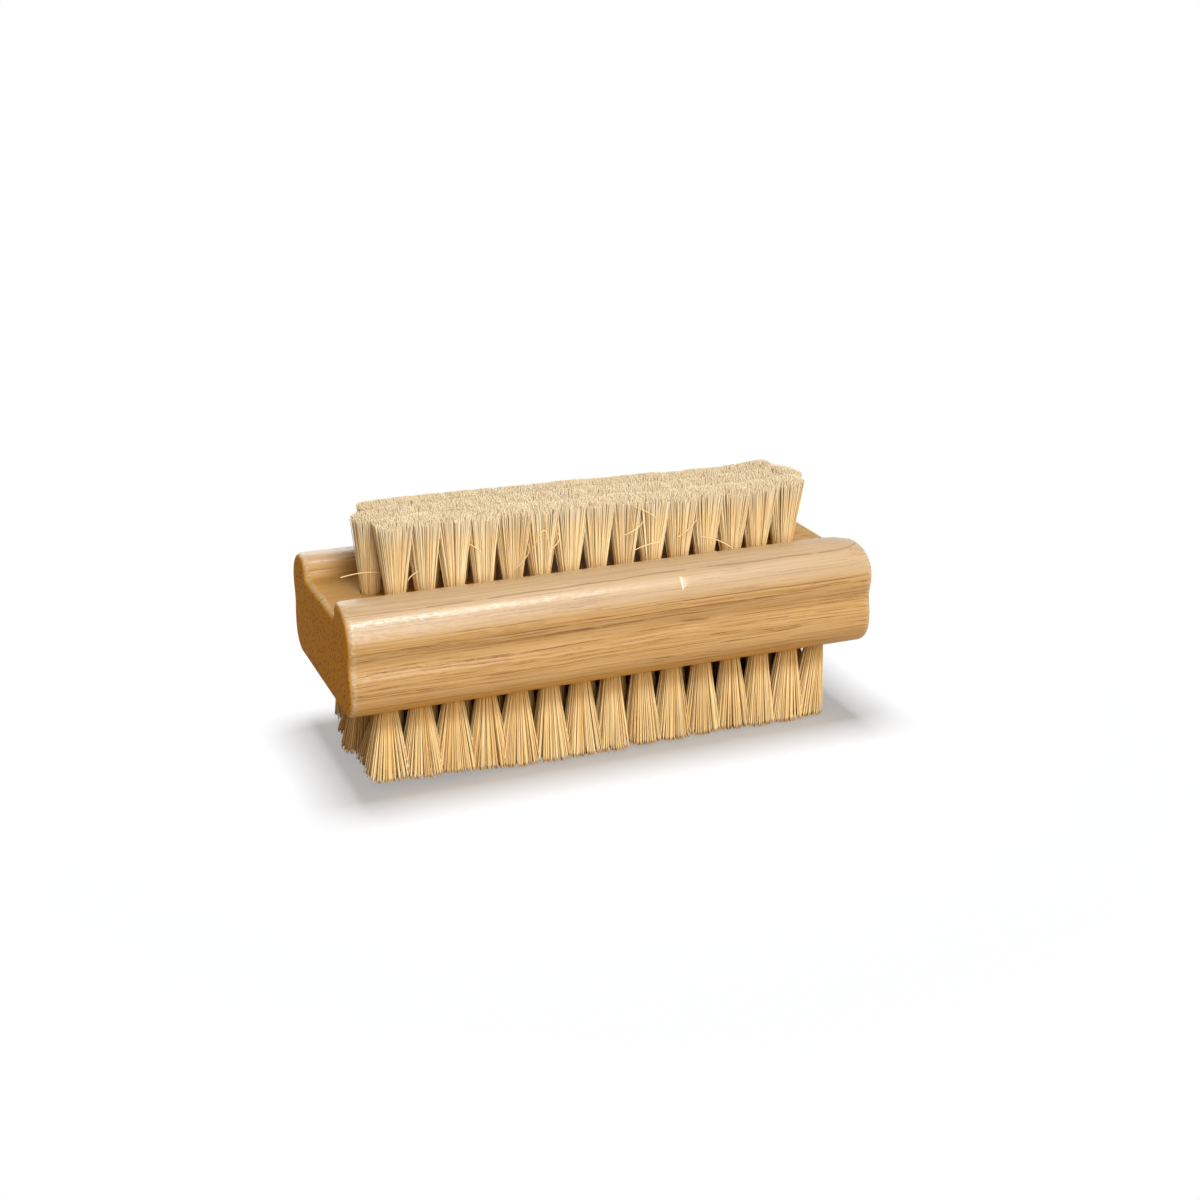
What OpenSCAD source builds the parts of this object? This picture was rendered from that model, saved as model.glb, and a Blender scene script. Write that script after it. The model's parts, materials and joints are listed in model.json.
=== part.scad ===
// Double-sided nail brush.
// A bamboo block glued up from three plies carries two fields of plant-fibre
// tufts: a narrow three-row nail side in the trough on top, and a wide
// five-row hand side below. Every tuft is folded over a flat wire anchor at
// the bottom of its own blind hole.
// The origin is on the floor under the middle of the brush, +X runs along its
// length and +Z points up. The brush stands on its hand-side bristle tips.

/* [Block] */
// Length of the block
block_l = 95; // [85:1:110]
// Width of the block
block_w = 38.8; // [37:0.1:44]
// Height of the block, from its flat underside to the crest of its rails
block_h = 19; // [18:0.5:22]
// Share of the block's height that the lower ply takes
lower_ply_share = 0.342; // [0.33:0.01:0.36]
// Share of the block's height that the middle ply takes
middle_ply_share = 0.3; // [0.27:0.01:0.33]
// Radius of the long edges beside the underside
foot_r = 4.6; // [3:0.1:5]
// Radius of the long outer edges of the rails
crown_r = 5.9; // [4:0.1:6]
// Rounding of the ends, seen from the side
end_r = 1.2; // [0.8:0.1:3]
// Rounding of the four upright corners, seen from above
corner_r = 1.2; // [0.5:0.1:3]

/* [Trough and finger grooves] */
// Width of the trough floor between the rails
trough_w = 18.8; // [17.5:0.1:20]
// Depth of the trough floor below the rails
trough_d = 3.5; // [3:0.1:4.5]
// Radius of the rails' inner shoulder
shoulder_r = 2.5; // [1.5:0.1:2.8]
// How far the rails' inner wall leans outward from the floor corner
shoulder_lean = 1; // [0.5:0.1:1.5]
// Depth of the finger groove along each side
groove_d = 0.6; // [0.4:0.1:1.2]
// Height of the finger groove's mouth
groove_h = 5; // [4:0.1:6]
// Height of the finger groove's middle above the underside
groove_z = 9.4; // [8.6:0.1:10]

/* [Tufts] */
// Diameter of the drilled holes
hole_d = 3.6; // [3.2:0.1:4]
// Spacing of the nail-side tufts along the brush
nail_pitch = 5.13; // [4.83:0.05:6.03]
// Spacing of the hand-side tufts along the brush
hand_pitch = 5.7; // [5:0.05:6.5]
// Least distance from the block's end to the first nail-side tuft
nail_end_gap = 8.8; // [7.5:0.1:14]
// Least distance from the block's end to the first hand-side tuft
hand_end_gap = 7.3; // [6.5:0.1:12]
// Wood left between the rails and the nearest holes
wall_gap = 1.2; // [0.8:0.1:2]
// Depth of the nail-side holes
nail_hole_depth = 6.2; // [5:0.1:6.5]
// Depth of the hand-side holes
hand_hole_depth = 5.2; // [4.4:0.1:5.4]
// Length of the nail-side bristles above the trough floor
nail_len = 13.5; // [10:0.1:18]
// Length of the hand-side bristles below the underside
hand_len = 14; // [9:0.1:18]
// Most that a nail-side strand falls short of the longest
nail_uneven = 0.5; // [0:0.1:1.5]

/* [Anchors] */
// Thickness of the flat anchor wire
anchor_t = 0.35; // [0.25:0.05:0.5]
// Height of the flat anchor wire
anchor_h = 1.8; // [1.4:0.1:2.2]
// How far each end of an anchor bites into the wood
anchor_bite = 0.4; // [0.2:0.05:0.6]
// Fibre folded between an anchor and the bottom of its hole
fold_t = 0.8; // [0.5:0.1:1.2]

/* [Hidden] */
$fn = 64;

// Clearance between pieces that seat in each other
seat_gap = 0.04;
// Overrun of a cut past the face that it opens
overrun = 1;

// Slice of the block's face that joins the tufts of a row into one solid
slice_w = 1.6;
slice_d = 0.8;
// How far a strand is rooted in its plug
root_sink = 0.4;
// Clear space between neighbouring strands at the root and at the tips
root_gap = 0.14;
tip_gap = 0.35;
// Most that a tip strays from its even place
tip_stray = 0.1;
// Share of the plug's radius that the outer corner of a strand reaches
root_reach_share = 0.94;
// Places of the tips as shares of the places of the roots, so the tufts fan
nail_spread_x_share = 1.03;
nail_spread_y_share = 0.915;
hand_spread_x_share = 1.02;
hand_spread_y_share = 1.077;
// Height of a strand's knee, and how much of its widening is done there
knee_share = 0.5;
knee_fan_share = 0.8;
// Turn from one strand to the next of the wave that varies the tips
stray_turn = 137.5;

// Levels above the floor
underside_z = hand_len;
crest_z = underside_z + block_h;
floor_z = crest_z - trough_d;
middle_ply_z = underside_z + block_h * lower_ply_share;
upper_ply_z = middle_ply_z + block_h * middle_ply_share;

// Circle that cuts a finger groove of the given mouth and depth
groove_r = (pow(groove_h / 2, 2) + pow(groove_d, 2)) / (2 * groove_d);

// Rows across the brush and tufts along it
hand_row_pitch = (block_w - 2 * foot_r - hole_d) / 4;
nail_row_pitch = (trough_w - 2 * wall_gap - hole_d) / 2;
hand_count = floor((block_l - 2 * hand_end_gap) / hand_pitch) + 1;
nail_count = floor((block_l - 2 * nail_end_gap) / nail_pitch) + 1;

plug_r = hole_d / 2 - seat_gap;
// Half the side of the square that the four strand roots of a tuft fill
root_half = plug_r * root_reach_share / sqrt(2);
anchor_l = hole_d + 2 * anchor_bite;

CORNERS = [[-1, -1], [1, -1], [1, 1], [-1, 1]];

function stray(k) = sin(stray_turn * k);
function row_x(i, count, pitch) = (i - (count - 1) / 2) * pitch;
function mix(a, b, share) = a + (b - a) * share;

// Flat rectangle with four round corners, centred on the origin
module round_rect(w, h, r) {
    square([w - 2 * r, h], center = true);
    square([w, h - 2 * r], center = true);
    for (c = CORNERS)
        translate([c.x * (w / 2 - r), c.y * (h / 2 - r)]) circle(r);
}

// Space of the trough, with the rails' round inner shoulders left standing
module trough_section() {
    half = trough_w / 2;
    shoulder_y = half + shoulder_lean + shoulder_r;
    shoulder_z = block_h - shoulder_r;
    difference() {
        translate([-shoulder_y, block_h - trough_d])
            square([2 * shoulder_y, trough_d + overrun]);
        for (side = [-1, 1]) {
            translate([side * shoulder_y, shoulder_z]) circle(shoulder_r);
            polygon([
                [side * half, block_h - trough_d],
                [side * (half + shoulder_lean), shoulder_z],
                [side * shoulder_y, shoulder_z],
                [side * (shoulder_y + overrun), shoulder_z],
                [side * (shoulder_y + overrun), block_h - trough_d - overrun],
                [side * half, block_h - trough_d - overrun]
            ]);
        }
    }
}

// Cross-section of the block, width along x and height along y
module block_section() {
    difference() {
        union() {
            translate([-block_w / 2 + foot_r, 0]) square([block_w - 2 * foot_r, block_h - crown_r]);
            translate([-block_w / 2, foot_r]) square([block_w, block_h - foot_r - crown_r]);
            translate([-block_w / 2 + crown_r, foot_r]) square([block_w - 2 * crown_r, block_h - foot_r]);
            for (side = [-1, 1]) {
                translate([side * (block_w / 2 - foot_r), foot_r]) circle(foot_r);
                translate([side * (block_w / 2 - crown_r), block_h - crown_r]) circle(crown_r);
            }
        }
        trough_section();
        for (side = [-1, 1])
            translate([side * (block_w / 2 - groove_d + groove_r), groove_z]) circle(groove_r);
    }
}

// The whole block before it is drilled
module block() {
    intersection() {
        translate([-block_l / 2, 0, underside_z])
            rotate([90, 0, 90]) linear_extrude(block_l) block_section();
        translate([0, block_w / 2 + overrun, underside_z + block_h / 2])
            rotate([90, 0, 0]) linear_extrude(block_w + 2 * overrun) round_rect(block_l, block_h, end_r);
        translate([0, 0, underside_z - overrun])
            linear_extrude(block_h + 2 * overrun) round_rect(block_l, block_w, corner_r);
    }
}

// Places a row drawn on z = 0 with its bristles up on the trough floor
module on_nail_side() {
    translate([0, 0, floor_z]) children();
}

// Places a row drawn on z = 0 with its bristles up under the underside
module on_hand_side() {
    translate([0, 0, underside_z]) rotate([180, 0, 0]) children();
}

// One wire anchor, or the slit that it sits in when grown by a gap
module anchor(depth, gap = 0) {
    translate([-anchor_t / 2 - gap, -anchor_l / 2 - gap, fold_t - depth - gap])
        cube([anchor_t + 2 * gap, anchor_l + 2 * gap, anchor_h + 2 * gap]);
}

// Holes, anchor slits and slice groove that a row takes out of the wood
module row_cut(y, count, pitch, depth) {
    half = row_x(count - 1, count, pitch);
    for (i = [0 : count - 1])
        translate([row_x(i, count, pitch), y, 0]) {
            translate([0, 0, -depth]) cylinder(h = depth + overrun, r = hole_d / 2);
            anchor(depth, seat_gap);
        }
    translate([-half, y - slice_w / 2 - seat_gap, -slice_d - seat_gap])
        cube([2 * half, slice_w + 2 * seat_gap, slice_d + seat_gap + overrun]);
}

// Anchors of a row
module row_anchors(y, count, pitch, depth) {
    for (i = [0 : count - 1])
        translate([row_x(i, count, pitch), y, 0]) anchor(depth);
}

// One strand: rings of four corners from its root to its tip, joined by flat
// triangles. A ring is [middle in x, middle in y, level, width in x, width in y].
module strand(rings) {
    last = 4 * (len(rings) - 1);
    polyhedron(
        points = [for (r = rings) for (c = CORNERS) [r[0] + c.x * r[3] / 2, r[1] + c.y * r[4] / 2, r[2]]],
        faces = [
            [0, 1, 2], [0, 2, 3],
            for (b = [0 : 4 : last - 4]) for (i = [0 : 3]) [b + i, b + i + 4, b + (i + 1) % 4 + 4],
            for (b = [0 : 4 : last - 4]) for (i = [0 : 3]) [b + i, b + (i + 1) % 4 + 4, b + (i + 1) % 4],
            [last, last + 3, last + 2], [last, last + 2, last + 1]
        ]
    );
}

// Ring of strand s at a share of its height, with a share of its widening done
function strand_ring(place, spread, cell, s, k, rise, height_share, fan_share) =
    let (
        root_w = root_half - root_gap / 2,
        root = (root_gap + root_w) / 2,
        n = 4 * k + s,
        tip_x = cell.x / 4 * CORNERS[s].x + tip_stray * stray(n),
        tip_y = cell.y / 4 * CORNERS[s].y + tip_stray * stray(n + 1)
    ) [
        place.x * mix(1, spread.x, height_share) + mix(root * CORNERS[s].x, tip_x, fan_share),
        place.y * mix(1, spread.y, height_share) + mix(root * CORNERS[s].y, tip_y, fan_share),
        mix(-root_sink, rise, height_share),
        mix(root_w, cell.x / 2 - tip_gap, fan_share),
        mix(root_w, cell.y / 2 - tip_gap, fan_share)
    ];

// One tuft at its hole: the folded root round its anchor, and four strands
module tuft(place, spread, cell, length, uneven, depth, knee, k) {
    translate([place.x, place.y, 0]) difference() {
        translate([0, 0, seat_gap - depth]) cylinder(h = depth - seat_gap, r = plug_r);
        anchor(depth, seat_gap);
    }
    stages = knee ? [[0, 0], [knee_share, knee_fan_share], [1, 1]] : [[0, 0], [1, 1]];
    for (s = [0 : 3]) {
        rise = length - uneven * abs(stray(4 * k + s));
        strand([for (t = stages) strand_ring(place, spread, cell, s, k, rise, t[0], t[1])]);
    }
}

// A row of tufts, joined by a slice of the face that they stand in
module row_tufts(y, count, pitch, row_pitch, spread, length, uneven, depth, knee) {
    half = row_x(count - 1, count, pitch);
    cell = [pitch * spread.x, row_pitch * spread.y];
    for (i = [0 : count - 1])
        tuft([row_x(i, count, pitch), y], spread, cell, length, uneven, depth, knee, i);
    translate([-half, y - slice_w / 2, -slice_d]) cube([2 * half, slice_w, slice_d]);
}

// Nail-side row: -1 is the front row, 0 the middle and 1 the back
function nail_row_count(row) = row == 0 ? nail_count : nail_count - 1;

module nail_tufts(row) {
    color("#e8d3a8") on_nail_side()
        row_tufts(row * nail_row_pitch, nail_row_count(row), nail_pitch, nail_row_pitch,
            [nail_spread_x_share, nail_spread_y_share], nail_len, nail_uneven, nail_hole_depth, true);
}

module nail_anchors(row) {
    color("#b9bcc0") on_nail_side()
        row_anchors(row * nail_row_pitch, nail_row_count(row), nail_pitch, nail_hole_depth);
}

// Hand-side row: -2 is the front row, 0 the middle and 2 the back. Only the
// two outer rows show their flare, so the rows between them have no knee.
function hand_row_count(row) = row % 2 == 0 ? hand_count : hand_count - 1;

module hand_tufts(row) {
    color("#d9b57b") on_hand_side()
        row_tufts(-row * hand_row_pitch, hand_row_count(row), hand_pitch, hand_row_pitch,
            [hand_spread_x_share, hand_spread_y_share], hand_len, 0, hand_hole_depth, abs(row) == 2);
}

module hand_anchors(row) {
    color("#b9bcc0") on_hand_side()
        row_anchors(-row * hand_row_pitch, hand_row_count(row), hand_pitch, hand_hole_depth);
}

// What the nail side takes out of the plies
module nail_cuts() {
    on_nail_side() for (row = [-1 : 1])
        row_cut(row * nail_row_pitch, nail_row_count(row), nail_pitch, nail_hole_depth);
}

// What the hand side takes out of the plies
module hand_cuts() {
    on_hand_side() for (row = [-2 : 2])
        row_cut(row * hand_row_pitch, hand_row_count(row), hand_pitch, hand_hole_depth);
}

// Slab of the block between two levels, before it is drilled
module ply(low_z, high_z) {
    intersection() {
        block();
        translate([-block_l / 2 - overrun, -block_w / 2 - overrun, low_z])
            cube([block_l + 2 * overrun, block_w + 2 * overrun, high_z - low_z]);
    }
}

module lower_ply() {
    color("#cf9f5f") difference() {
        ply(underside_z - overrun, middle_ply_z);
        hand_cuts();
    }
}

module middle_ply() {
    color("#d3a566") difference() {
        ply(middle_ply_z, upper_ply_z);
        nail_cuts();
    }
}

module upper_ply() {
    color("#d8ac6e") difference() {
        ply(upper_ply_z, crest_z + overrun);
        nail_cuts();
    }
}

lower_ply();
middle_ply();
upper_ply();
nail_tufts(-1);  // nail_tufts_front
nail_tufts(0);  // nail_tufts_middle
nail_tufts(1);  // nail_tufts_back
hand_tufts(-2);  // hand_tufts_front
hand_tufts(-1);  // hand_tufts_front_inner
hand_tufts(0);  // hand_tufts_middle
hand_tufts(1);  // hand_tufts_back_inner
hand_tufts(2);  // hand_tufts_back
nail_anchors(-1);  // nail_anchors_front
nail_anchors(0);  // nail_anchors_middle
nail_anchors(1);  // nail_anchors_back
hand_anchors(-2);  // hand_anchors_front
hand_anchors(-1);  // hand_anchors_front_inner
hand_anchors(0);  // hand_anchors_middle
hand_anchors(1);  // hand_anchors_back_inner
hand_anchors(2);  // hand_anchors_back
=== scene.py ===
"""A double-sided nail brush: a bamboo block with pale tufts in its trough and golden tufts below."""

import json
from math import cos, pi, radians, sin, sqrt
from types import SimpleNamespace

import bmesh
import bpy
import numpy as np
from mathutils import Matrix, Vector

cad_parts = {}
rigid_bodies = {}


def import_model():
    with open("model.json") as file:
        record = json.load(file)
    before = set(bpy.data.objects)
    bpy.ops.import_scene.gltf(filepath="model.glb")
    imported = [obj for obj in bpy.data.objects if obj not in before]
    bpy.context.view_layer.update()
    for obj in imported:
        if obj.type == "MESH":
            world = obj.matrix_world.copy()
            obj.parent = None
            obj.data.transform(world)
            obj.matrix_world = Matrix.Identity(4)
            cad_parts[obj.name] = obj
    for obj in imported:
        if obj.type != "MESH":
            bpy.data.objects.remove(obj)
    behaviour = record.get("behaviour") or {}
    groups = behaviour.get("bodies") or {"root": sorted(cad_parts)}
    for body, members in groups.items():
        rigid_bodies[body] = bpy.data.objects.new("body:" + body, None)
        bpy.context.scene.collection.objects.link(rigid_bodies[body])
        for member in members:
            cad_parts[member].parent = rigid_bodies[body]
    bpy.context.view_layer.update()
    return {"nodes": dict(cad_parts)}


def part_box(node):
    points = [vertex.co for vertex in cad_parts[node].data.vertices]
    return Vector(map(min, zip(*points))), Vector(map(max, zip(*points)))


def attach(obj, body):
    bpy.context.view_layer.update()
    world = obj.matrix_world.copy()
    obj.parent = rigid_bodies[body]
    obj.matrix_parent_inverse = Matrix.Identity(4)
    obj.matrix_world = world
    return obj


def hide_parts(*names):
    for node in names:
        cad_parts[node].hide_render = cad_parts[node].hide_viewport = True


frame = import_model()
bpy.ops.object.select_all(action="DESELECT")

MM = 0.001
UP, DOWN = 1, -1

# The block, from the frame
BLOCK_LOW, BLOCK_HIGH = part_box("lower_ply")[0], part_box("upper_ply")[1]
LENGTH, WIDTH, HEIGHT = BLOCK_HIGH - BLOCK_LOW
UNDERSIDE, CREST = BLOCK_LOW.z, BLOCK_HIGH.z
LOWER_JOINT, UPPER_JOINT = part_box("middle_ply")[0].z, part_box("middle_ply")[1].z

# The block's own shape
TROUGH_DEPTH, FLOOR_HALF, TOE_RUN, TOE_RISE = 3.5 * MM, 9.4 * MM, 0.9 * MM, 1.2 * MM
TROUGH_FLOOR = CREST - TROUGH_DEPTH
FOOT_ROUND, CROWN_ROUND, SHOULDER_ROUND = 4.6 * MM, 5.9 * MM, 2.2 * MM
TOE_ROUND, END_ROUND = 0.4 * MM, 1.0 * MM
GROOVE_MIDDLE, GROOVE_MOUTH, GROOVE_DEPTH = UNDERSIDE + 9.4 * MM, 6.4 * MM, 0.5 * MM
HOLE_DIAMETER, NAIL_HOLE_DEPTH, HAND_HOLE_DEPTH, ANCHOR_THICK = 3.6 * MM, 6.2 * MM, 5.2 * MM, 0.35 * MM

# Two points are the same when they are this close: after a bevel, in any measure, and on a cut
WELD, HAIR, ON_CUT = 0.06 * MM, 0.01 * MM, 1e-7


# Modelling by hand

def alone(thing):
    """Leaves only this object selected and active."""
    bpy.ops.object.select_all(action="DESELECT")
    thing.select_set(True)
    bpy.context.view_layer.objects.active = thing


def editing(thing):
    """Opens the object in edit mode with nothing selected."""
    alone(thing)
    bpy.ops.object.mode_set(mode="EDIT")
    bpy.ops.mesh.select_all(action="DESELECT")


def done():
    """Leaves edit mode."""
    bpy.ops.object.mode_set(mode="OBJECT")


def pick(thing, kind, wanted):
    """Selects the vertices, edges or faces that wanted says yes to."""
    bpy.ops.mesh.select_mode(type=kind)
    bpy.ops.mesh.select_all(action="DESELECT")
    mesh = bmesh.from_edit_mesh(thing.data)
    for part in {"VERT": mesh.verts, "EDGE": mesh.edges, "FACE": mesh.faces}[kind]:
        if wanted(part):
            part.select_set(True)
    mesh.select_flush_mode()
    bmesh.update_edit_mesh(thing.data)


def settle(thing):
    """Puts the object's place, turn and scale into its mesh."""
    alone(thing)
    bpy.ops.object.transform_apply(location=True, rotation=True, scale=True)


def finish_with(thing, kind, **settings):
    """Adds a modifier to the object and applies it."""
    alone(thing)
    modifier = thing.modifiers.new(kind.lower(), kind)
    for name, value in settings.items():
        setattr(modifier, name, value)
    bpy.ops.object.modifier_apply(modifier=modifier.name)


def copy_of(thing, name):
    """A copy of the object with a mesh of its own."""
    twin = thing.copy()
    twin.data = thing.data.copy()
    twin.name = twin.data.name = name
    bpy.context.scene.collection.objects.link(twin)
    return twin


def cut(level, normal, **options):
    """Cuts everything in the open mesh with a plane."""
    bpy.ops.mesh.select_all(action="SELECT")
    bpy.ops.mesh.bisect(plane_co=level, plane_no=normal, threshold=ON_CUT, **options)


def near(a, b):
    """Whether two lengths are the same."""
    return abs(a - b) < HAIR


# The bamboo block

def block_section():
    """The block's outline at its left end, as a plane: round corners, the trough and the finger grooves."""
    middle = (-LENGTH / 2 + END_ROUND, 0, (UNDERSIDE + CREST) / 2)
    bpy.ops.mesh.primitive_plane_add(size=1, location=middle, rotation=(0, radians(90), 0))
    section = bpy.context.object
    section.scale = (HEIGHT, WIDTH, 1)
    settle(section)
    editing(section)
    wall_y, wall_z = FLOOR_HALF + TOE_RUN, TROUGH_FLOOR + TOE_RISE
    for level in (TROUGH_FLOOR, wall_z):
        cut((0, 0, level), (0, 0, 1))
    for side in (-1, 1):
        cut((0, side * wall_y, 0), (0, 1, 0))
        cut((0, side * FLOOR_HALF, 0), (0, 1, 0))
    for side in (-1, 1):
        pick(section, "FACE", lambda face: FLOOR_HALF < side * face.calc_center_median().y < wall_y
             and TROUGH_FLOOR < face.calc_center_median().z < wall_z)
        bpy.ops.mesh.bisect(
            plane_co=(0, side * FLOOR_HALF, TROUGH_FLOOR),
            plane_no=(0, side * TOE_RISE, -TOE_RUN), threshold=ON_CUT)

    def in_trough(face):
        centre = face.calc_center_median()
        out, rise = abs(centre.y), centre.z - TROUGH_FLOOR
        return rise > 0 and out < wall_y and rise * TOE_RUN > (out - FLOOR_HALF) * TOE_RISE

    pick(section, "FACE", in_trough)
    bpy.ops.mesh.delete(type="FACE")
    for side in (-1, 1):
        cut((0, 0, GROOVE_MIDDLE + side * GROOVE_MOUTH / 2), (0, 0, 1))
    pick(section, "EDGE", lambda edge: edge.is_boundary
         and all(near(abs(v.co.y), WIDTH / 2) for v in edge.verts)
         and abs(sum(v.co.z for v in edge.verts) / 2 - GROOVE_MIDDLE) < GROOVE_MOUTH / 2)
    bpy.ops.mesh.subdivide(number_cuts=13)
    mesh = bmesh.from_edit_mesh(section.data)
    for v in mesh.verts:
        off = abs(v.co.z - GROOVE_MIDDLE)
        if near(abs(v.co.y), WIDTH / 2) and off < GROOVE_MOUTH / 2:
            inward = GROOVE_DEPTH * (1 + cos(2 * pi * off / GROOVE_MOUTH)) / 2
            v.co.y -= inward if v.co.y > 0 else -inward
    bmesh.update_edit_mesh(section.data)
    bpy.ops.mesh.select_all(action="SELECT")
    bpy.ops.mesh.dissolve_faces()
    bpy.ops.mesh.dissolve_limited(angle_limit=radians(1))
    for z, y, size, steps in (
            (UNDERSIDE, WIDTH / 2, FOOT_ROUND, 10), (CREST, WIDTH / 2, CROWN_ROUND, 12),
            (CREST, wall_y, SHOULDER_ROUND, 8)):
        pick(section, "VERT", lambda v: near(v.co.z, z) and near(abs(v.co.y), y))
        bpy.ops.mesh.bevel(offset=size, segments=steps, profile=0.5, affect="VERTICES")
    pick(section, "VERT", lambda v: near(v.co.z, TROUGH_FLOOR))
    bpy.ops.mesh.bevel(offset=TOE_ROUND, segments=3, profile=0.5, affect="VERTICES")
    bpy.ops.mesh.select_all(action="SELECT")
    bpy.ops.mesh.remove_doubles(threshold=WELD)
    done()
    return section


def round_end(block, end):
    """Draws one end's outline in and out along a quarter circle."""
    steps = 5
    face_x = end * (LENGTH / 2 - END_ROUND)
    editing(block)
    pick(block, "FACE", lambda face: near(face.calc_center_median().x, face_x))
    turns = [radians(90) * k / steps for k in range(steps + 1)]
    for a, b in zip(turns, turns[1:]):
        inward, outward = END_ROUND * (cos(a) - cos(b)), END_ROUND * (sin(b) - sin(a))
        bpy.ops.mesh.inset(thickness=inward, depth=outward, use_even_offset=True)
    done()


def wear_right_end(block):
    """Sands the rails down towards the right end, where years of hands have rounded them."""
    reach, drop, depth = 7 * MM, 1.2 * MM, 6 * MM
    editing(block)
    mesh = bmesh.from_edit_mesh(block.data)
    for v in mesh.verts:
        along = max(0, v.co.x - LENGTH / 2 + reach) / reach
        up = max(0, v.co.z - CREST + depth) / depth
        v.co.z -= drop * along ** 2 * up
    bmesh.update_edit_mesh(block.data)
    done()


def whole_block():
    """The sanded block in one piece, before it is split into its plies and drilled."""
    lengthwise, straight = 30, LENGTH - 2 * END_ROUND
    block = block_section()
    editing(block)
    bpy.ops.mesh.select_all(action="SELECT")
    bpy.ops.mesh.extrude_region_move(TRANSFORM_OT_translate={"value": (straight, 0, 0)})
    bpy.ops.mesh.select_all(action="SELECT")
    bpy.ops.mesh.normals_make_consistent(inside=False)
    for i in range(1, lengthwise):
        cut(((i / lengthwise - 0.5) * straight, 0, 0), (1, 0, 0))
    done()
    round_end(block, -1)
    round_end(block, 1)
    wear_right_end(block)
    return block


def drills(name, rows, face, depth, way):
    """One body of drill bits for every hole on one side, each standing a little out of the wood."""
    proud = 1 * MM
    bpy.ops.mesh.primitive_cylinder_add(
        vertices=24, radius=HOLE_DIAMETER / 2, depth=depth + proud,
        location=(0, 0, face + way * (proud - depth) / 2))
    bit = bpy.context.object
    settle(bit)
    bits = []
    for row in rows:
        for x, y in tuft_places(row):
            twin = copy_of(bit, name)
            twin.location = (x, y, 0)
            bits.append(twin)
    bpy.data.objects.remove(bit)
    bpy.ops.object.select_all(action="DESELECT")
    for twin in bits:
        twin.select_set(True)
    bpy.context.view_layer.objects.active = bits[0]
    bpy.ops.object.join()
    settle(bits[0])
    return bits[0]


def ply(name, block, low, high, bits, finish):
    """The part of the block between two levels, drilled for its tufts; a level of None isn't cut."""
    piece = copy_of(block, "bamboo_" + name)
    editing(piece)
    if low is not None:
        cut((0, 0, low), (0, 0, 1), use_fill=True, clear_inner=True)
    if high is not None:
        cut((0, 0, high), (0, 0, 1), use_fill=True, clear_outer=True)
    done()
    finish_with(piece, "BOOLEAN", operation="DIFFERENCE", object=bits, solver="EXACT")
    alone(piece)
    bpy.ops.object.shade_smooth_by_angle(angle=radians(35))
    piece.data.materials.clear()
    piece.data.materials.append(finish)
    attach(piece, "root")
    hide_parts(name)


# The tufts

TUFT_COUNTS = {
    "nail_front": 15, "nail_middle": 16, "nail_back": 15,
    "hand_front": 15, "hand_front_inner": 14, "hand_middle": 15, "hand_back_inner": 14, "hand_back": 15,
}
NAIL_ROWS = [row for row in TUFT_COUNTS if row.startswith("nail")]
HAND_ROWS = [row for row in TUFT_COUNTS if row.startswith("hand")]

# A bristle has one of the map's columns, which gives its shade, and a wisp's bristles share a group of them
COLUMNS, COLUMN_GROUP, WISPS = 160, 8, 26

# How the bristles of a tuft differ: a scattered place, a squarer fan, a few cut late and a few bent
ROOTED, SCATTER, SQUARENESS = 1.2 * MM, 0.03, 0.16
FAN_RANGE, THICK_RANGE = (0.9, 1.1), (0.75, 1.15)
TUFT_LEAN, TUFT_FALL = 0.16 * MM, 0.2 * MM
LATE_SHARE, LATE_RANGE = 0.04, (0.2, 1.4)
WILD_SHARE, WILD_BOW = 0.03, 4
STRAY_THICK = 0.1 * MM

# The two sides: spread moves the tips apart, fan opens a tuft, and a gather above 1 keeps its middle close;
# jitter, short, dome and bow are how far one bristle differs from the next, and wispy how much they cling
NAIL = SimpleNamespace(
    way=UP, face=TROUGH_FLOOR, length=13.5 * MM, strands=440, thick=0.095 * MM,
    bundle=1.3 * MM, inner_bundle=1.35 * MM,
    spread=(1.0, 0.88), fan=(3.1 * MM, 3.25 * MM), gather=1.0, opening=0.95, jitter=0.08 * MM,
    short=0.06 * MM, dome=0.12 * MM, bow=0.045 * MM, wispy=0.1, seed=11)
HAND = SimpleNamespace(
    way=DOWN, face=UNDERSIDE, length=14 * MM, strands=320, thick=0.092 * MM,
    bundle=1.35 * MM, inner_bundle=1.65 * MM,
    spread=(1.01, 1.02), fan=(3.3 * MM, 3.2 * MM), gather=1.2, opening=1.0, jitter=0.06 * MM,
    short=0.1 * MM, dome=0.3 * MM, bow=0.04 * MM, wispy=0.14, seed=23)

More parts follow.
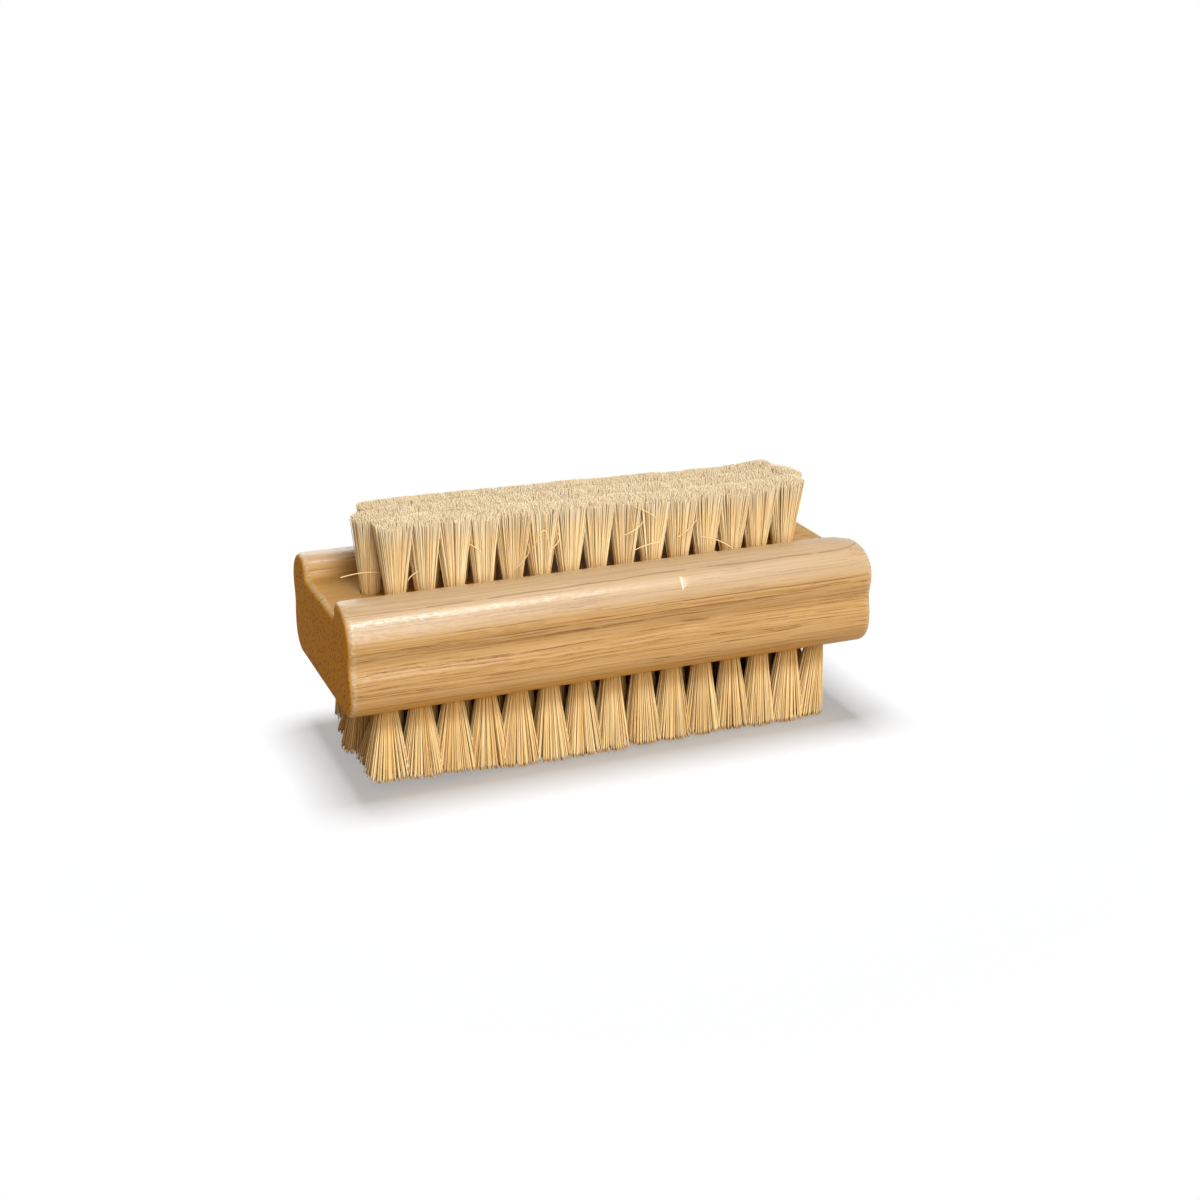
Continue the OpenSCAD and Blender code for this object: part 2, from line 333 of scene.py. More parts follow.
# Loose fibres on the nail side, in mm: where each starts and ends, and how far its middle is pushed
STRAYS = [
    ((-36.4, -3.4, 33.5), (-44.2, -3.0, 33.7), (0.2, 0, 0.5)),
    ((-12.9, -9.6, 36.6), (-9.9, -9.7, 36.0), (0.6, -0.3, 3.6)),
    ((-9.9, -9.7, 36.0), (-8.2, -9.4, 39.0), (0.9, -0.2, 0.2)),
    ((-13.9, -9.3, 38.4), (-15.4, -8.9, 33.6), (1.2, -0.3, 0.2)),
    ((5.6, -9.0, 33.9), (10.6, -9.3, 35.0), (0, 0, 0.25)),
    ((18.3, -9.2, 35.0), (24.6, -9.3, 32.2), (0.2, 0, 0.4)),
    ((21.1, -8.9, 31.9), (26.2, -9.1, 31.4), (0, 0, -0.3)),
    ((3.8, -9.6, 37.2), (7.4, -9.7, 39.3), (0.3, 0, -0.3)),
    ((5.7, -9.7, 42.0), (9.9, -9.6, 39.4), (0, 0, 0.3)),
    ((-23.9, -9.5, 39.0), (-21.8, -9.5, 37.2), (0, 0, 0.2)),
    ((-34.4, -8.9, 33.8), (-32.6, -9.0, 35.2), (-0.2, 0, 0.1)),
    ((14.0, -9.2, 35.4), (17.6, -9.5, 38.5), (0.3, 0, -0.2)),
]


def tuft_places(row):
    """Where each tuft of a row stands, from the anchors in the frame."""
    side, place = row.split("_", 1)
    low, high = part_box(f"{side}_anchors_{place}")
    first, last = low.x + ANCHOR_THICK / 2, high.x - ANCHOR_THICK / 2
    return [(x, (low.y + high.y) / 2) for x in np.linspace(first, last, TUFT_COUNTS[row])]


def bristle_blank(lengths):
    """One bristle on end, of unit length and radius: a five-sided rod that tapers in so many lengths.

    Its map has the sides side by side in the middle of a column, and the caps in narrow strips at the ends.
    """
    sides, taper = 5, 0.9
    margin, cap_place, cap_wide, cap_high = 0.1, 0.015, 0.4, 0.01
    bpy.ops.mesh.primitive_circle_add(vertices=sides, radius=1, fill_type="NGON")
    blank = bpy.context.object
    editing(blank)
    bpy.ops.mesh.select_all(action="SELECT")
    for i in range(lengths):
        bpy.ops.mesh.extrude_region_move(TRANSFORM_OT_translate={"value": (0, 0, 1 / lengths)})
        slimmer = taper ** (1 / lengths)
        bpy.ops.transform.resize(value=(slimmer, slimmer, 1), center_override=(0, 0, 0))
    bpy.ops.mesh.select_all(action="SELECT")
    bpy.ops.mesh.normals_make_consistent(inside=False)
    done()
    mesh = blank.data
    points = np.array([v.co for v in mesh.vertices])
    faces = [list(p.vertices) for p in mesh.polygons]
    around = np.round(np.arctan2(points[:, 1], points[:, 0]) / (2 * pi / sides)) % sides
    across, along = [], []
    for face in faces:
        heights = points[face, 2]
        if np.ptp(heights) < 0.5 / lengths:
            turn = 2 * pi * around[face] / sides
            middle = 1 - cap_place if heights[0] > 0.5 else cap_place
            across += list(0.5 + cap_wide * np.cos(turn))
            along += list(middle + cap_high * np.sin(turn))
        else:
            steps = around[face].copy()
            if np.ptp(steps) > 1:
                steps[steps == 0] = sides
            across += list(margin + (1 - 2 * margin) * steps / sides)
            along += list(heights)
    bpy.data.objects.remove(blank)
    return SimpleNamespace(points=points, faces=faces, across=np.array(across), along=np.array(along))


def tuft_paths(side, row, x, y, number, draw):
    """Root, tip, bow, thickness and map column of every bristle of a tuft, in a seeded draw."""
    count, golden_turn = side.strands, pi * (3 - sqrt(5))
    order = np.arange(count) + 0.5
    reach = np.sqrt(order / count)
    turn = order * golden_turn + draw.uniform(0, 2 * pi)
    disc = np.stack([reach * np.cos(turn), reach * np.sin(turn)], 1)
    disc += draw.normal(0, SCATTER, disc.shape)
    root = np.zeros((count, 3))
    outer = row.endswith(("front", "back"))
    root[:, :2] = np.array([x, y]) + disc * (side.bundle if outer else side.inner_bundle)
    root[:, 2] = side.face - side.way * ROOTED
    # Bristles gather in wisps, which share a shade
    wisps = disc[draw.choice(count, WISPS, replace=False)]
    wisp = np.argmin(np.linalg.norm(disc[:, None] - wisps[None], axis=2), 1)
    column = draw.integers(0, COLUMNS // COLUMN_GROUP, WISPS)[wisp] * COLUMN_GROUP
    column += draw.integers(0, COLUMN_GROUP, count)
    gathered = disc + (wisps[wisp] - disc) * side.wispy
    # The fan is squarer than the hole, so that neighbouring tufts close up
    corner = np.sin(2 * np.arctan2(disc[:, 1], disc[:, 0])) ** 2
    square = gathered * (1 + SQUARENESS * corner)[:, None]
    square *= (reach ** (side.gather - 1))[:, None]
    fan = np.array(side.fan) * draw.uniform(*FAN_RANGE, 2) * side.fullness(x)
    lean = draw.normal(0, TUFT_LEAN, 2) + np.array(side.leans(row, number)) * MM
    tip = np.zeros((count, 3))
    tip[:, :2] = np.array([x * side.spread[0], y * side.spread[1]]) + lean + square * fan
    tip[:, :2] += draw.normal(0, 1, (count, 2)) * side.jitter
    fall = np.abs(draw.normal(0, 1, count)) * side.short + side.dome * reach ** 3
    fall += draw.uniform(0, TUFT_FALL)
    late = draw.random(count) < LATE_SHARE
    fall[late] += draw.uniform(*LATE_RANGE, late.sum()) * MM
    tip[:, 2] = side.face + side.way * (side.length - side.trim(tip[:, 0], tip[:, 1]) - fall)
    bow = np.zeros((count, 3))
    bow[:, :2] = draw.normal(0, 1, (count, 2)) * side.bow
    wild = draw.random(count) < WILD_SHARE
    bow[wild, :2] *= WILD_BOW
    thick = side.thick * draw.uniform(*THICK_RANGE, count)
    return root, tip, bow, thick, column


def bristle_mesh(name, blank, way, opening, paths):
    """Bristles along the given paths as one mesh, with the map that their shades are read from.

    The way is UP, DOWN or, for loose fibres, None. An opening above 1 spreads a tuft early on its way out.
    """
    root, tip, bow, thick, column = paths
    count = len(root)
    share = blank.points[:, 2]
    rise = tip[:, None, :] - root[:, None, :]
    across_share = 1 - (1 - share) ** opening
    points = root[:, None, :] + rise * np.stack([across_share, across_share, share], 1)
    points += bow[:, None, :] * np.sin(pi * share)[None, :, None]
    if way is None:
        # A loose fibre lies on its side, so its section turns with it
        along = rise + bow[:, None, :] * pi * np.cos(pi * share)[None, :, None]
        along /= np.linalg.norm(along, axis=2, keepdims=True)
        first = np.cross(along, (0, 1, 0))
        first /= np.linalg.norm(first, axis=2, keepdims=True)
        second = np.cross(along, first)
        section = first * blank.points[None, :, :1] + second * blank.points[None, :, 1:2]
        points += section * thick[:, None, None]
    else:
        points[:, :, :2] += blank.points[:, :2][None] * thick[:, None, None]
    faces = blank.faces
    back = list(range(sum(map(len, faces))))
    if way == DOWN:
        faces = [face[::-1] for face in blank.faces]
        back = []
        for face in faces:
            back += list(range(len(back) + len(face) - 1, len(back) - 1, -1))
    sizes = np.array([len(face) for face in faces])
    corners = np.concatenate([np.array(face) for face in faces])
    each = len(blank.points)
    numbers = np.arange(count)[:, None]
    mesh = bpy.data.meshes.new(name)
    mesh.vertices.add(count * each)
    mesh.vertices.foreach_set("co", points.astype(np.float32).ravel())
    mesh.loops.add(count * len(corners))
    mesh.loops.foreach_set("vertex_index", (corners[None] + each * numbers).ravel())
    mesh.polygons.add(count * len(sizes))
    starts = np.concatenate([[0], np.cumsum(sizes)[:-1]])
    mesh.polygons.foreach_set("loop_start", (starts[None] + len(corners) * numbers).ravel())
    mesh.update(calc_edges=True)
    own_map = mesh.uv_layers.new(name="OFBake")
    u = (column[:, None] + blank.across[back][None]) / COLUMNS
    v = np.repeat(blank.along[back][None], count, 0)
    own_map.data.foreach_set("uv", np.stack([u, v], 2).astype(np.float32).ravel())
    mesh.validate()
    return mesh


def placed(name, mesh, finish):
    """The mesh as a smooth object in its finish."""
    piece = bpy.data.objects.new(name, mesh)
    bpy.context.scene.collection.objects.link(piece)
    alone(piece)
    bpy.ops.object.shade_smooth_by_angle(angle=radians(80))
    mesh.materials.append(finish)
    return piece


def bristle_row(side, row, finish):
    """Every tuft of a row as one piece; the front row of the nail side has the loose fibres too."""
    draw = np.random.default_rng(side.seed + sum(map(ord, row)))
    tufts = [tuft_paths(side, row, *place, i, draw) for i, place in enumerate(tuft_places(row))]
    paths = [np.concatenate(part) for part in zip(*tufts)]
    name = row + "_bristles"
    piece = placed(name, bristle_mesh(name, straight_blank, side.way, side.opening, paths), finish)
    if row == "nail_front":
        root, tip, bow = (np.array(part) * MM for part in zip(*STRAYS))
        thick, column = np.full(len(STRAYS), STRAY_THICK), draw.integers(0, COLUMNS, len(STRAYS))
        loose = root, tip, bow, thick, column
        strays = placed("strays", bristle_mesh("strays", curved_blank, None, 1, loose), finish)
        alone(piece)
        strays.select_set(True)
        bpy.ops.object.join()
    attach(piece, "root")
    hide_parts(row.replace("_", "_tufts_", 1))


def nail_trim(x, y):
    """How short the nail side is trimmed: more to the right, but for a lump near that end, and at its rim."""
    along = [-42, -39, -34, -20, -10, 0, 20, 30, 36, 39, 42]
    below = [0.3, -0.1, -0.3, -0.3, 0.0, 0.2, 0.6, 0.85, 0.42, 0.2, 0.8]
    rim_from, rim_run, rim_drop = 7 * MM, 1.5 * MM, 0.2
    rim = np.clip((np.abs(y) - rim_from) / rim_run, 0, 2)
    return (np.interp(x / MM, along, below) + rim_drop * rim ** 2) * MM


def hand_trim(x, y):
    """How short the hand side is trimmed: a little at its left end, and round at its front left corner."""
    left_from, left_run, left_drop = -18 * MM, 14 * MM, 1.1
    corner_from, corner_run, corner_drop, front = -42.5 * MM, 2 * MM, 0.6, -10 * MM
    left = np.clip((left_from - x) / left_run, 0, 1)
    corner = np.clip((corner_from - x) / corner_run, 0, 2) * (y < front)
    return (left_drop * left + corner_drop * corner) * MM


def nail_leans(row, number):
    """How far the tips of a tuft lean, in mm: both end tufts a little to the right."""
    return {0: 0.2, TUFT_COUNTS[row] - 1: 0.3}.get(number, 0), 0


def hand_leans(row, number):
    """The same below: the inner rows splay out at both ends, and the outer rows' end tufts mostly lean in."""
    last = TUFT_COUNTS[row] - 1
    return {
        "hand_front": {0: -0.1, last - 2: -0.6, last - 1: -1.2, last: -2.0},
        "hand_front_inner": {0: -2.2, 1: -1.0, last: 2.6},
        "hand_middle": {0: -0.8, last: 1.9},
        "hand_back_inner": {0: -2.4, 1: -1.2, last: 2.0},
        "hand_back": {0: 1.8, 1: 0.8, last: 0.8},
    }[row].get(number, 0), 0


def nail_fullness(x):
    """The nail side's tufts fan out alike all along."""
    return 1


def hand_fullness(x):
    """The hand side's tufts are splayed by use at the left and still narrow at the right."""
    at_middle, change, over = 1.02, 0.1, 40 * MM
    return at_middle - change * x / over


NAIL.trim, NAIL.leans, NAIL.fullness = nail_trim, nail_leans, nail_fullness
HAND.trim, HAND.leans, HAND.fullness = hand_trim, hand_leans, hand_fullness


# Finishes

class Value:
    """An output in a material that sums can be written with."""

    def __init__(self, paint, socket):
        self.paint, self.socket = paint, socket

    def maths(self, operation, *others):
        return self.paint.node("ShaderNodeMath", {"operation": operation}, [self, *others])

    def __add__(self, other):
        return self.maths("ADD", other)

    def __sub__(self, other):
        return self.maths("SUBTRACT", other)

    def __rsub__(self, other):
        return self.paint.node("ShaderNodeMath", {"operation": "SUBTRACT"}, [other, self])

    def __mul__(self, other):
        return self.maths("MULTIPLY", other)

    def __truediv__(self, other):
        return self.maths("DIVIDE", other)

    def __abs__(self):
        return self.maths("ABSOLUTE")

    __radd__, __rmul__ = __add__, __mul__

    def between(self, low, high):
        """0 below low, 1 above high and smooth between them, or the other way round if low is the higher."""
        smooth = {"interpolation_type": "SMOOTHSTEP"}
        return self.paint.node("ShaderNodeMapRange", smooth, [self, low, high])


class Paint:
    """The nodes of a material or of the world, emptied and ready to be made."""

    def __init__(self, owner):
        owner.use_nodes = True
        self.owner, self.tree = owner, owner.node_tree
        self.tree.nodes.clear()

    def node(self, kind, settings=None, sockets=None, output=0):
        """Adds a node, sets it up, fills or links its sockets, and returns one of its outputs."""
        new = self.tree.nodes.new(kind)
        for name, value in (settings or {}).items():
            setattr(new, name, value)
        pairs = enumerate(sockets) if isinstance(sockets, list) else (sockets or {}).items()
        for name, value in pairs:
            if isinstance(value, Value):
                self.tree.links.new(value.socket, new.inputs[name])
            else:
                new.inputs[name].default_value = value
        return Value(self, new.outputs[output]) if new.outputs else None

    def place(self):
        """Where a point is on the brush, in millimetres."""
        found = self.node("ShaderNodeTexCoord", output="Object")
        return self.node("ShaderNodeMapping", sockets={"Vector": found, "Scale": (1 / MM,) * 3})

    def split(self, vector):
        """The three parts of a vector."""
        found = self.node("ShaderNodeSeparateXYZ", sockets=[vector])
        return [Value(self, output) for output in found.socket.node.outputs]

    def joined(self, x, y, z):
        return self.node("ShaderNodeCombineXYZ", sockets=[x, y, z])

    def noise(self, vector, scale, detail=2, rough=0.5):
        sockets = {"Vector": vector, "Scale": scale, "Detail": detail, "Roughness": rough}
        return self.node("ShaderNodeTexNoise", sockets=sockets)

    def chance(self, number):
        """A value from 0 to 1 that is drawn anew for each number."""
        return self.node("ShaderNodeTexWhiteNoise", {"noise_dimensions": "1D"}, {"W": number})

    def bump(self, strength, deep, relief):
        """The surface's direction, with the relief this deep in millimetres."""
        sockets = {"Strength": strength, "Distance": deep * MM, "Height": relief}
        return self.node("ShaderNodeBump", sockets=sockets)

    def mix(self, share, a, b):
        """Colour a at 0 and b at 1, each the outcome of another mix or three plain numbers."""
        a, b = (colour if isinstance(colour, Value) else (*colour, 1) for colour in (a, b))
        return self.node("ShaderNodeMix", {"data_type": "RGBA"}, {0: share, 6: a, 7: b}, output=2)

    def seen(self):
        """1 for what the camera sees, directly or in a gloss, and 0 for light that bounces."""
        path = self.node("ShaderNodeLightPath").socket.node
        kinds = ("Is Camera Ray", "Is Glossy Ray", "Is Transmission Ray")
        camera, glossy, through = (Value(self, path.outputs[kind]) for kind in kinds)
        return camera.maths("MAXIMUM", glossy).maths("MAXIMUM", through)

    def shader(self, **sockets):
        """The finish's own shader, its sockets named with _ for a space."""
        named = {name.replace("_", " "): value for name, value in sockets.items()}
        return self.node("ShaderNodeBsdfPrincipled", sockets=named)

    def surface(self, shader):
        """Ends the material and returns it."""
        self.node("ShaderNodeOutputMaterial", sockets={"Surface": shader})
        return self.owner


# The wood's colours: the bamboo itself, what wear and the saw have made of it, and painted shade in the
# trough, painted bounce light on the foot and a painted sheen on the rails
PALE, TAN, BROWN, DARK = (0.545, 0.33, 0.125), (0.44, 0.24, 0.066), (0.34, 0.16, 0.034), (0.15, 0.047, 0.006)
TROUGH_SHADE_COLOUR, SHADED, FOOT_BOUNCE_LIGHT = (0.42, 0.21, 0.035), (0.66, 0.30, 0.03), (0.80, 0.42, 0.075)
PAINTED_SHEEN, WORN, TORN = (0.49, 0.38, 0.26), (0.72, 0.55, 0.36), (0.80, 0.70, 0.58)
END_GRAIN, END_DOT = (0.79, 0.39, 0.06), (0.19, 0.07, 0.01)

# Where each part of the block starts and where it is in full, in mm from the brush's middle or the floor
RAIL_HEIGHTS, FOOT_HEIGHTS = (CREST / MM - 6, CREST / MM - 3.5), (UNDERSIDE / MM + 4, UNDERSIDE / MM + 0.5)
TROUGH_SIDES, TROUGH_SHADE_ENDS = (11.5, 9.5), (42, 34)
ROW_SIDES, ROW_ENDS = (8, 7), (40.5, 38)
WORN_ENDS, LINE_FADE = (46.0, 47.0), 8


def grain_line(height, thick, start, stop, strength):
    """A dark fibre line at a height above the underside that shows from start to stop along the brush."""
    level = height + UNDERSIDE / MM
    return SimpleNamespace(height=level, thick=thick, start=start, stop=stop, strength=strength)


GRAIN_LINES = [
    grain_line(12.15, 0.10, -26, 34, 1.0),
    grain_line(11.0, 0.08, -24, 16, 0.9),
    grain_line(13.6, 0.09, 2, 46, 0.85),
    grain_line(9.3, 0.08, 18, 47, 0.8),
    grain_line(7.9, 0.08, 20, 47, 0.8),
    grain_line(8.6, 0.08, -44, 2, 0.65),
    grain_line(5.5, 0.08, -40, 20, 0.55),
    grain_line(2.2, 0.07, -46, 46, 0.5),
    grain_line(17.9, 0.07, -46, 46, 0.6),
]


def torn_nick(x, y, z):
    """How torn the wood is: a three-cornered nick on the front crest, brightest along its left side."""
    left, length, soft = 10.7, 1.9, 0.25
    low_start, low_slope, high_start, high_slope = 29.3, 1.1, 31.5, -0.5
    along = (x - left) / length
    low, high = along * low_slope + low_start, along * high_slope + high_start
    bright = along.between(0.95, 0.1) * 0.45 + along.between(0.22, 0.1) * 0.5
    torn = along.between(-0.04, 0.02) * bright * y.between(-10, -12)
    return torn * z.between(low, low + soft) * z.between(high, high - soft)


def bamboo(name, seed, scuffed=False):
    """Sanded, lacquered bamboo: fibres along the brush, dotted end grain and a few dark fibre lines."""
    paint = Paint(bpy.data.materials.new(name))
    x, y, z = paint.split(paint.place())

    def fibres(run, across, scale, detail=2, rough=0.5):
        """Noise drawn out along the brush, at a place across it."""
        return paint.noise(paint.joined(x * run, *across), scale, detail, rough)

    sway = fibres(0.035, (y * 0.05 + seed, z * 0.05), 1.0) - 0.5
    ripple = fibres(0.12, (y * 0.1 + seed + 7, z * 0.1), 1.0) - 0.5
    v = z + sway * 1.1 + ripple * 0.35
    u = y + sway * 0.9 - ripple * 0.35
    broad = fibres(0.012, (u + seed, v), 0.5)
    streak = fibres(0.01, (u, v + seed), 2.3, 3, 0.6)
    fine = fibres(0.009, (u, v), 4.6, 3, 0.65)
    speck = fibres(0.35, (u, v), 3.0, 2, 0.6)
    broken = fibres(0.07, (u * 0.6, v * 0.8), 0.8, 1).between(0.42, 0.58)
    patch = fibres(0.05, (u, v), 0.5, 1).between(0.45, 0.6)
    bundle = paint.node("ShaderNodeTexVoronoi", {"feature": "F1"},
                        {"Vector": paint.joined(x * 0.012, u, v), "Scale": 1.15})
    dot = bundle.between(0.19, 0.07)
    pore = bundle.between(0.36, 0.14)
    hair = fine.between(0.43, 0.34) * broken
    tone = streak * 0.7 + broad * 0.35 + fine * 0.7

    # The places on the block
    normal = paint.node("ShaderNodeNewGeometry", output="Normal")
    end = abs(paint.split(normal)[0]).between(0.55, 0.92)
    side = 1 - end
    high = z.between(*RAIL_HEIGHTS)
    trough = high * abs(y).between(*TROUGH_SIDES)
    between_rows = trough * abs(y).between(*ROW_SIDES) * abs(x).between(*ROW_ENDS)
    foot = z.between(*FOOT_HEIGHTS) * side
    worn = abs(x).between(*WORN_ENDS) * side * speck.between(0.4, 0.62)

    # One coat over another: how much shows, and its colour
    coats = [
        (tone.between(0.86, 0.68) * 0.8, BROWN),
        (hair * side * 0.85, DARK),
        (fine.between(0.56, 0.64) * side * 0.6, PALE),
        (speck.between(0.58, 0.7) * side * 0.3, PALE),
        # Painted sheen: the rail tops outside the trough are paler and greyer, as under a highlight
        ((high - trough) * 0.5, PAINTED_SHEEN),
        # Painted shade on the trough's floor and walls, fading out at its right end
        (trough * x.between(*TROUGH_SHADE_ENDS) * 0.65, TROUGH_SHADE_COLOUR),
        # Painted shade between the rows of tufts: a deep warm brown where the trough lies in their shade
        (between_rows * 0.85, SHADED),
        # Painted bounce light: the foot, lit from the floor below, is a brighter gold
        (foot * 0.75, FOOT_BOUNCE_LIGHT),
        (dot * side * patch * 0.4, DARK),
    ]
    for line in GRAIN_LINES:
        height = v - line.height
        band = (height * height / (-line.thick ** 2)).maths("EXPONENT")
        shows = x.between(line.start - LINE_FADE, line.start + LINE_FADE)
        shows = shows * x.between(line.stop + LINE_FADE, line.stop - LINE_FADE)
        gaps = fibres(0.18, (u * 0.3, v + line.height), 1.0).between(0.3, 0.5)
        coats.append((band * shows * gaps * side * line.strength, DARK))
    coats.append((worn * 0.55, WORN))
    if scuffed:
        coats.append((torn_nick(x, y, z) * (fine * 0.8 + 0.5), TORN))
    colour = paint.mix(tone.between(0.74, 1.02), TAN, PALE)
    for share, coat in coats:
        colour = paint.mix(share, colour, coat)

    relief = fine * 0.6 + streak * 0.5 - hair * 0.4 - dot * side * 0.4 + speck * 0.5 - end * pore * 0.8
    bump = paint.bump(0.35, 0.05, relief)
    gloss = (speck.between(0.35, 0.65) * 0.55 + 0.35) * (1 - trough * 0.9) * (1 - foot * 0.8)
    lacquered = paint.shader(
        Base_Color=colour, Roughness=0.42 + fine * 0.16 + trough * 0.3, Normal=bump, Specular_IOR_Level=0.3,
        Coat_Weight=gloss, Coat_Roughness=0.25)
    # End grain drinks the lacquer, so it is darker and dull
    end_tone = paint.mix(pore * 0.75 + speck.between(0.4, 0.7) * 0.3, END_GRAIN, END_DOT)
    dry = paint.shader(Base_Color=end_tone, Roughness=0.85, Normal=bump, Specular_IOR_Level=0.06)
    return paint.surface(paint.node("ShaderNodeMixShader", sockets=[end * 0.98, lacquered, dry]))


def bristle_finish(name, root, root_shade_share, dark, middle, pale, tip, tip_from, tip_share):
    """Plant fibre: each bristle has a shade of its own, with painted shade darkening it near its hole, and
    its cut tip browned.
    """
    paint = Paint(bpy.data.materials.new(name))
    u, v, _ = paint.split(paint.node("ShaderNodeUVMap", {"uv_map": "OFBake"}))
    column = (u * COLUMNS).maths("FLOOR")
    # Each fraction that is added makes another draw of the same column
    shade, second = paint.chance(column), paint.chance(column + 0.37)
    wisp = paint.chance((column / COLUMN_GROUP).maths("FLOOR") + 0.71)
    along = paint.noise(paint.joined(column * 3.7, v * 5, 0.0), 1.0)
    tone = shade * 0.5 + wisp * 0.3 + along * 0.35
    colour = paint.mix(tone.between(0.1, 0.6), dark, middle)
    colour = paint.mix(tone.between(0.55, 1.0), colour, pale)
    # Painted shade: darker towards the hole
    colour = paint.mix(v.between(0.5, 0.1) * root_shade_share, colour, root)
    colour = paint.mix(v.between(tip_from, 0.98) * (second * 0.5 + 0.5) * tip_share, colour, tip)
    rough = 0.5 + second * 0.12
    return paint.surface(paint.shader(Base_Color=colour, Roughness=rough, Specular_IOR_Level=0.18))


def steel(name):
    """Drawn flat wire."""
    paint = Paint(bpy.data.materials.new(name))
    x, y, z = paint.split(paint.place())
    drawn = paint.noise(paint.joined(x * 9, y * 0.6, z * 9), 2.0, 3)
    colour = paint.mix(drawn, (0.42, 0.42, 0.43), (0.62, 0.62, 0.64))
    rough, bump = 0.28 + drawn * 0.2, paint.bump(0.2, 0.02, drawn)
    return paint.surface(paint.shader(Base_Color=colour, Metallic=1.0, Roughness=rough, Normal=bump))


# Studio

def camera():
    """The photo's view of the brush."""
    data = bpy.data.cameras.new("camera")
    data.sensor_width, data.lens = 36, 54.3
    data.clip_start, data.clip_end = 0.01, 50
    eye = bpy.data.objects.new("camera", data)
    eye.location = (-110.006 * MM, -280.727 * MM, 133.315 * MM)
    eye.rotation_euler = (radians(90 - 20.155), 0, radians(-21.973))
    bpy.context.scene.collection.objects.link(eye)
    bpy.context.scene.camera = eye


def lamp(name, place, wide, high, watts, reached):
    """A softbox turned to the brush, its place and size in metres, that lights only what it has to reach."""
    data = bpy.data.lights.new(name, "AREA")
    data.shape, data.size, data.size_y, data.energy = "RECTANGLE", wide, high, watts
    light = bpy.data.objects.new(name, data)
    light.location = place
    target = Vector((0, 0, UNDERSIDE + HEIGHT / 2))
    light.rotation_euler = (target - light.location).to_track_quat("-Z", "Y").to_euler()
    bpy.context.scene.collection.objects.link(light)
    light.light_linking.receiver_collection = reached


# The world's fill, the floor's share of plain white near the brush, and where it grows to all of it, in mm
FILL, SHADOW_WHITE, FLOOR_FADE = 0.2, 0.36, (60, 125)


def white_world():
    """White to the camera and in gloss, and a weak fill for the brush."""
    world = bpy.data.worlds.new("studio")
    bpy.context.scene.world = world
    sky = Paint(world)
    fill = sky.node("ShaderNodeBackground", sockets={"Color": (1, 0.88, 0.7, 1), "Strength": FILL})
    white = sky.node("ShaderNodeBackground", sockets={"Color": (1, 1, 1, 1), "Strength": 1.0})
    both = sky.node("ShaderNodeMixShader", sockets=[sky.seen(), fill, white])
    sky.node("ShaderNodeOutputWorld", sockets={"Surface": both})


def floor_paper():
    """White paper that takes the brush's shadow near it and is plain white farther off."""
    paint = Paint(bpy.data.materials.new("white_floor"))
    x, y, _ = paint.split(paint.place())
    off, seen = (x * x + y * y).maths("SQRT"), paint.seen()
    pale = paint.node("ShaderNodeBsdfDiffuse", sockets={"Color": (0.84, 0.87, 0.91, 1)})
    dull = paint.node("ShaderNodeBsdfDiffuse", sockets={"Color": (0.26, 0.15, 0.05, 1)})
    white = paint.node("ShaderNodeEmission", sockets={"Color": (1, 1, 1, 1), "Strength": 1.0})
    paper = paint.node("ShaderNodeMixShader", sockets=[seen, dull, pale])
    share = off.between(*FLOOR_FADE) * (1 - SHADOW_WHITE) + SHADOW_WHITE
    return paint.surface(paint.node("ShaderNodeMixShader", sockets=[share * seen, paper, white]))


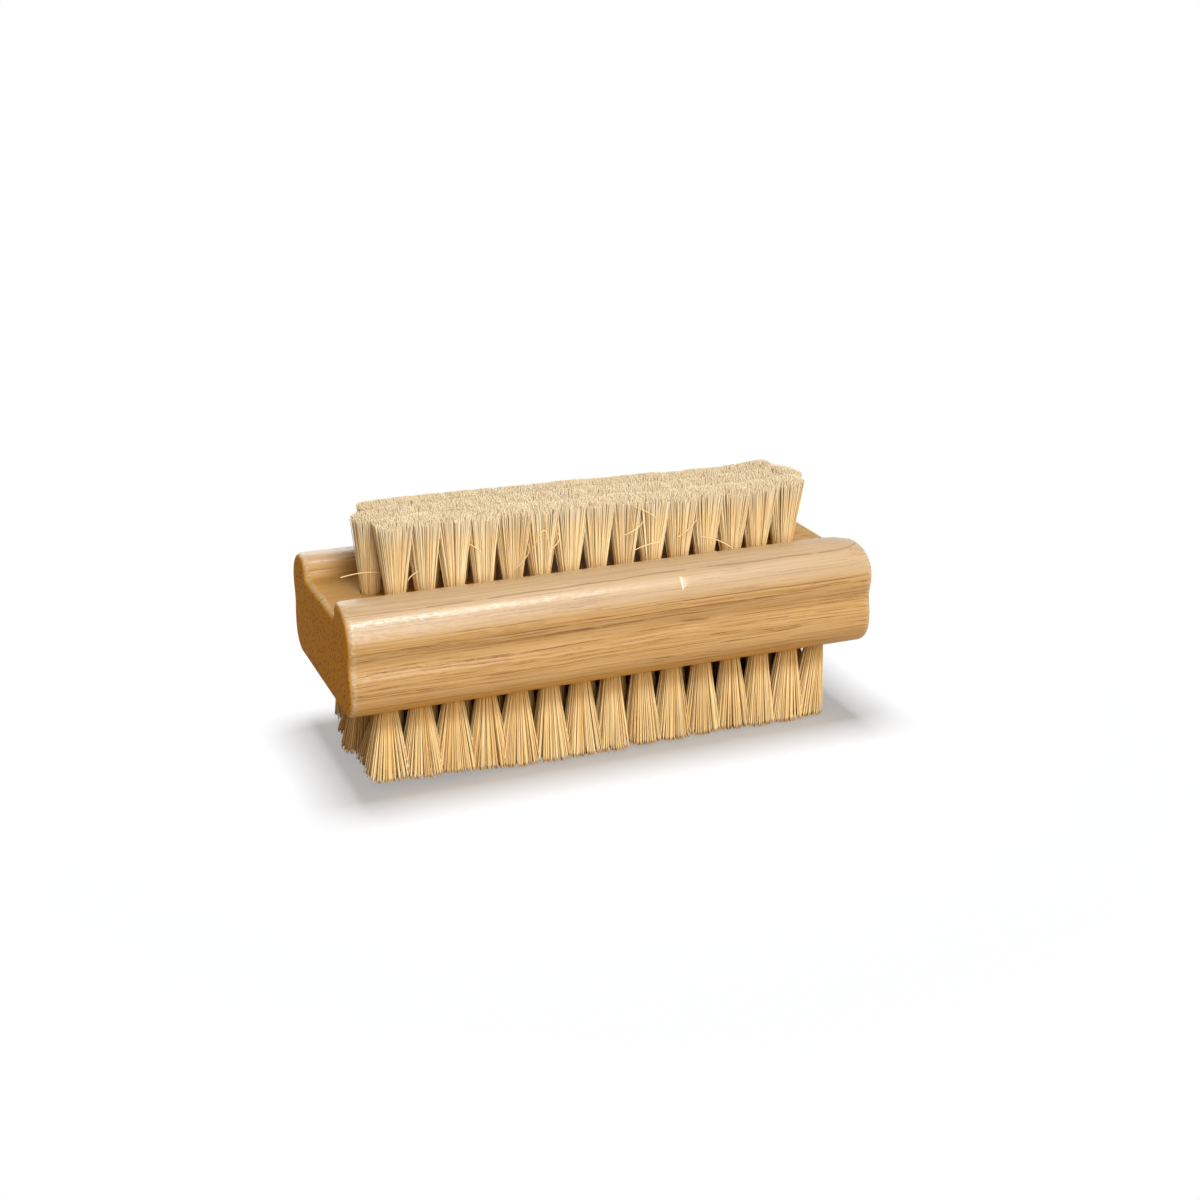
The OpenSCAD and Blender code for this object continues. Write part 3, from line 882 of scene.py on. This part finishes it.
def studio():
    """The floor, the world and the lamps: three for the brush and one for the shadow on the floor."""
    bpy.context.scene.view_settings.view_transform = "Standard"
    white_world()
    on_brush, on_floor = (bpy.data.collections.new("on_" + name) for name in ("brush", "floor"))
    for thing in bpy.context.scene.objects:
        if thing.type == "MESH":
            on_brush.objects.link(thing)
    bpy.ops.mesh.primitive_plane_add(size=8, location=(0, 0, 0))
    floor = bpy.context.object
    floor.name = "floor"
    floor.data.materials.append(floor_paper())
    on_floor.objects.link(floor)
    lamp("key", (0.07, -0.363, 0.543), 0.28, 0.15, 2.95, on_brush)
    lamp("front", (-0.02, -0.59, 0.25), 0.35, 0.5, 2.75, on_brush)
    lamp("back", (-0.05, 0.55, 0.3), 0.7, 0.5, 1.4, on_brush)
    lamp("overhead", (0.0, 0.06, 0.55), 0.22, 0.22, 3.35, on_floor)


block = whole_block()
nail_bits = drills("nail_bits", NAIL_ROWS, TROUGH_FLOOR, NAIL_HOLE_DEPTH, UP)
hand_bits = drills("hand_bits", HAND_ROWS, UNDERSIDE, HAND_HOLE_DEPTH, DOWN)
ply("lower_ply", block, None, LOWER_JOINT, hand_bits, bamboo("lower_bamboo", 3.0))
ply("middle_ply", block, LOWER_JOINT, UPPER_JOINT, nail_bits, bamboo("middle_bamboo", 11.0))
ply("upper_ply", block, UPPER_JOINT, None, nail_bits, bamboo("upper_bamboo", 23.0, scuffed=True))
for spent in (block, nail_bits, hand_bits):
    bpy.data.objects.remove(spent)

straight_blank, curved_blank = bristle_blank(2), bristle_blank(12)
cream = bristle_finish(
    "cream_fibre", root=(0.82, 0.50, 0.15), root_shade_share=0.5,
    dark=(0.88, 0.64, 0.31), middle=(0.93, 0.72, 0.39), pale=(0.95, 0.81, 0.53),
    tip=(0.83, 0.74, 0.57), tip_from=0.72, tip_share=0.8)
gold = bristle_finish(
    "golden_fibre", root=(0.62, 0.33, 0.07), root_shade_share=0.7,
    dark=(0.83, 0.54, 0.20), middle=(0.93, 0.69, 0.33), pale=(0.96, 0.80, 0.48),
    tip=(0.42, 0.20, 0.05), tip_from=0.945, tip_share=0.95)
# A darker copy of the golden fibre for the inner hand rows: painted shade where the block and the outer rows
# keep them in shade
inner_shade_fibre = bristle_finish(
    "inner_shaded_fibre", root=(0.50, 0.25, 0.05), root_shade_share=0.8,
    dark=(0.62, 0.36, 0.10), middle=(0.74, 0.48, 0.18), pale=(0.80, 0.57, 0.26),
    tip=(0.42, 0.20, 0.05), tip_from=0.945, tip_share=0.9)
for row in NAIL_ROWS:
    bristle_row(NAIL, row, cream)
for row in HAND_ROWS:
    bristle_row(HAND, row, gold if row in ("hand_front", "hand_back") else inner_shade_fibre)

wire = steel("drawn_wire")
for name, node in frame["nodes"].items():
    if "anchors" in name:
        for held in node.material_slots:
            held.material = wire

camera()
studio()
